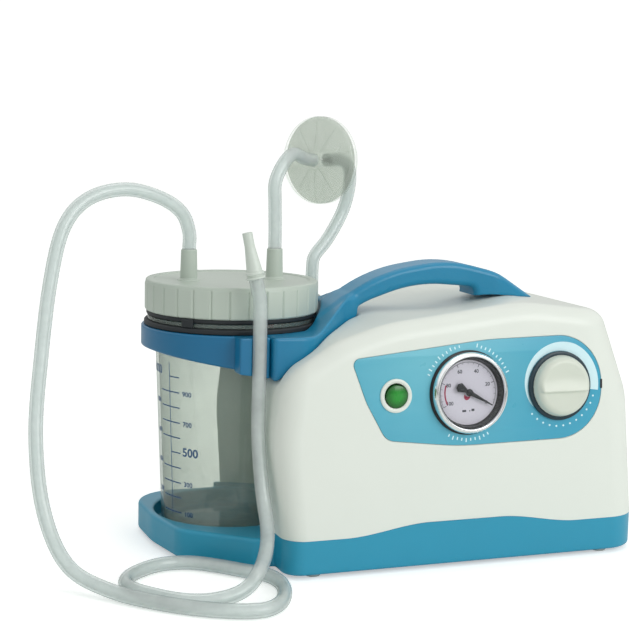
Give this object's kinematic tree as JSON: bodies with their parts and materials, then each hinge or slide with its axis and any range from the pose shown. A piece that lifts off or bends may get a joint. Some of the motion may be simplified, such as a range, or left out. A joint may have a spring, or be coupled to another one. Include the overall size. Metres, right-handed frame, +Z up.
{
  "type": "portable suction pump",
  "caption": "Portable surgical aspirator: piston vacuum pump in a blue and white case with gauge, regulator, collection jar, filter and tubing.",
  "frame": {"origin": "under the middle of the whole unit, tubing included, on the plane that the rubber feet stand on", "axes": "+X to the right seen from the front, +Y to the back, +Z up; the control panel faces -Y"},
  "size_m": [0.4481, 0.2558, 0.3177],
  "materials": {
    "white_case": "satin",
    "blue_case": "satin",
    "panel": "satin",
    "rubber": "matte",
    "steel": "brushed",
    "cast": "cast",
    "dark_plastic": "matte",
    "rocker_green": "glossy",
    "bezel_metal": "polished",
    "dial": "printed",
    "glass": "clear",
    "brass": "machined",
    "needle_black": "matte",
    "knob_ivory": "satin",
    "knob_base": "satin",
    "copper": "enamelled",
    "lid_grey": "satin",
    "float_red": "satin",
    "clear_plastic": "clear",
    "membrane": "fibrous",
    "silicone": "translucent"
  },
  "bodies": {
    "root": {"base_tray": "blue_case", "housing": "white_case", "handle_ring": "blue_case", "ring_cushion": "rubber", "tube_clip": "blue_case", "control_panel": "panel", "rubber_feet": "rubber", "base_screws": "steel", "switch_bezel": "white_case", "switch_body": "dark_plastic", "gauge_bezel": "bezel_metal", "gauge_case": "dark_plastic", "gauge_dial": "dial", "gauge_glass": "glass", "gauge_movement": "brass", "regulator_valve": "brass", "valve_nut": "steel", "inlet_nozzle": "lid_grey", "suction_hose": "silicone", "gauge_hose": "silicone", "silencer": "dark_plastic", "motor_can": "steel", "motor_end_caps": "cast", "motor_bearings": "steel", "stator_core": "steel", "stator_coils": "copper", "crankcase": "cast", "pump_cylinder": "steel", "valve_plate": "steel", "cylinder_head": "cast", "head_screws": "steel", "pump_bracket": "steel", "rubber_dampers": "rubber", "mains_inlet": "dark_plastic", "inlet_screws": "steel"},
    "rocker": {"rocker": "rocker_green"},
    "needle": {"gauge_needle": "needle_black"},
    "knob": {"regulator_knob": "knob_ivory", "knob_skirt": "knob_base", "regulator_spindle": "steel"},
    "rotor": {"motor_shaft": "steel", "rotor_core": "steel", "cooling_fan": "dark_plastic", "crank": "steel"},
    "piston": {"connecting_rod": "cast", "piston_cup": "rubber"},
    "fuse_drawer": {"fuse_drawer": "dark_plastic"},
    "jar": {"jar": "clear_plastic"},
    "lid": {"lid": "lid_grey", "lid_gasket": "rubber", "float_cage": "clear_plastic", "patient_tube": "silicone", "cone_connector": "silicone", "filter_up_tube": "silicone", "filter_front_shell": "clear_plastic", "filter_back_shell": "clear_plastic", "filter_membrane": "membrane", "filter_down_tube": "silicone"},
    "float": {"float_valve": "float_red"}
  },
  "joints": [
    {"name": "rocker_tilt", "type": "hinge", "parent": "root", "child": "rocker", "pos_m": [0.023, -0.0462, 0.12478], "axis": [1, 0, 0], "range_deg": [-14, 0]},
    {"name": "needle_swing", "type": "hinge", "parent": "root", "child": "needle", "pos_m": [0.079, -0.04869, 0.125], "axis": [0, -0.9962, 0.0872], "range_deg": [0, 236]},
    {"name": "knob_turn", "type": "hinge", "parent": "root", "child": "knob", "pos_m": [0.152, -0.04851, 0.127], "axis": [0, -0.9962, 0.0872], "range_deg": [-135, 135]},
    {"name": "motor_spin", "type": "hinge", "parent": "root", "child": "rotor", "pos_m": [0.079, 0.048, 0.058], "axis": [1, 0, 0], "continuous": true},
    {"name": "crank_pin", "type": "hinge", "parent": "rotor", "child": "piston", "pos_m": [0.152, 0.048, 0.0605], "axis": [1, 0, 0], "continuous": true},
    {"name": "fuse_drawer_slide", "type": "slide", "parent": "root", "child": "fuse_drawer", "axis": [0, 1, 0], "range_m": [0, 0.012]},
    {"name": "jar_lift", "type": "slide", "parent": "root", "child": "jar", "axis": [0, 0, 1], "range_m": [0, 0.16]},
    {"name": "lid_lift", "type": "slide", "parent": "jar", "child": "lid", "axis": [0, 0, 1], "range_m": [0, 0.08]},
    {"name": "float_rise", "type": "slide", "parent": "lid", "child": "float", "axis": [0, 0, 1], "range_m": [0, 0.01]}
  ],
  "couplings": [
    {"joint": "crank_pin", "follows": "motor_spin", "ratio": -1}
  ]
}
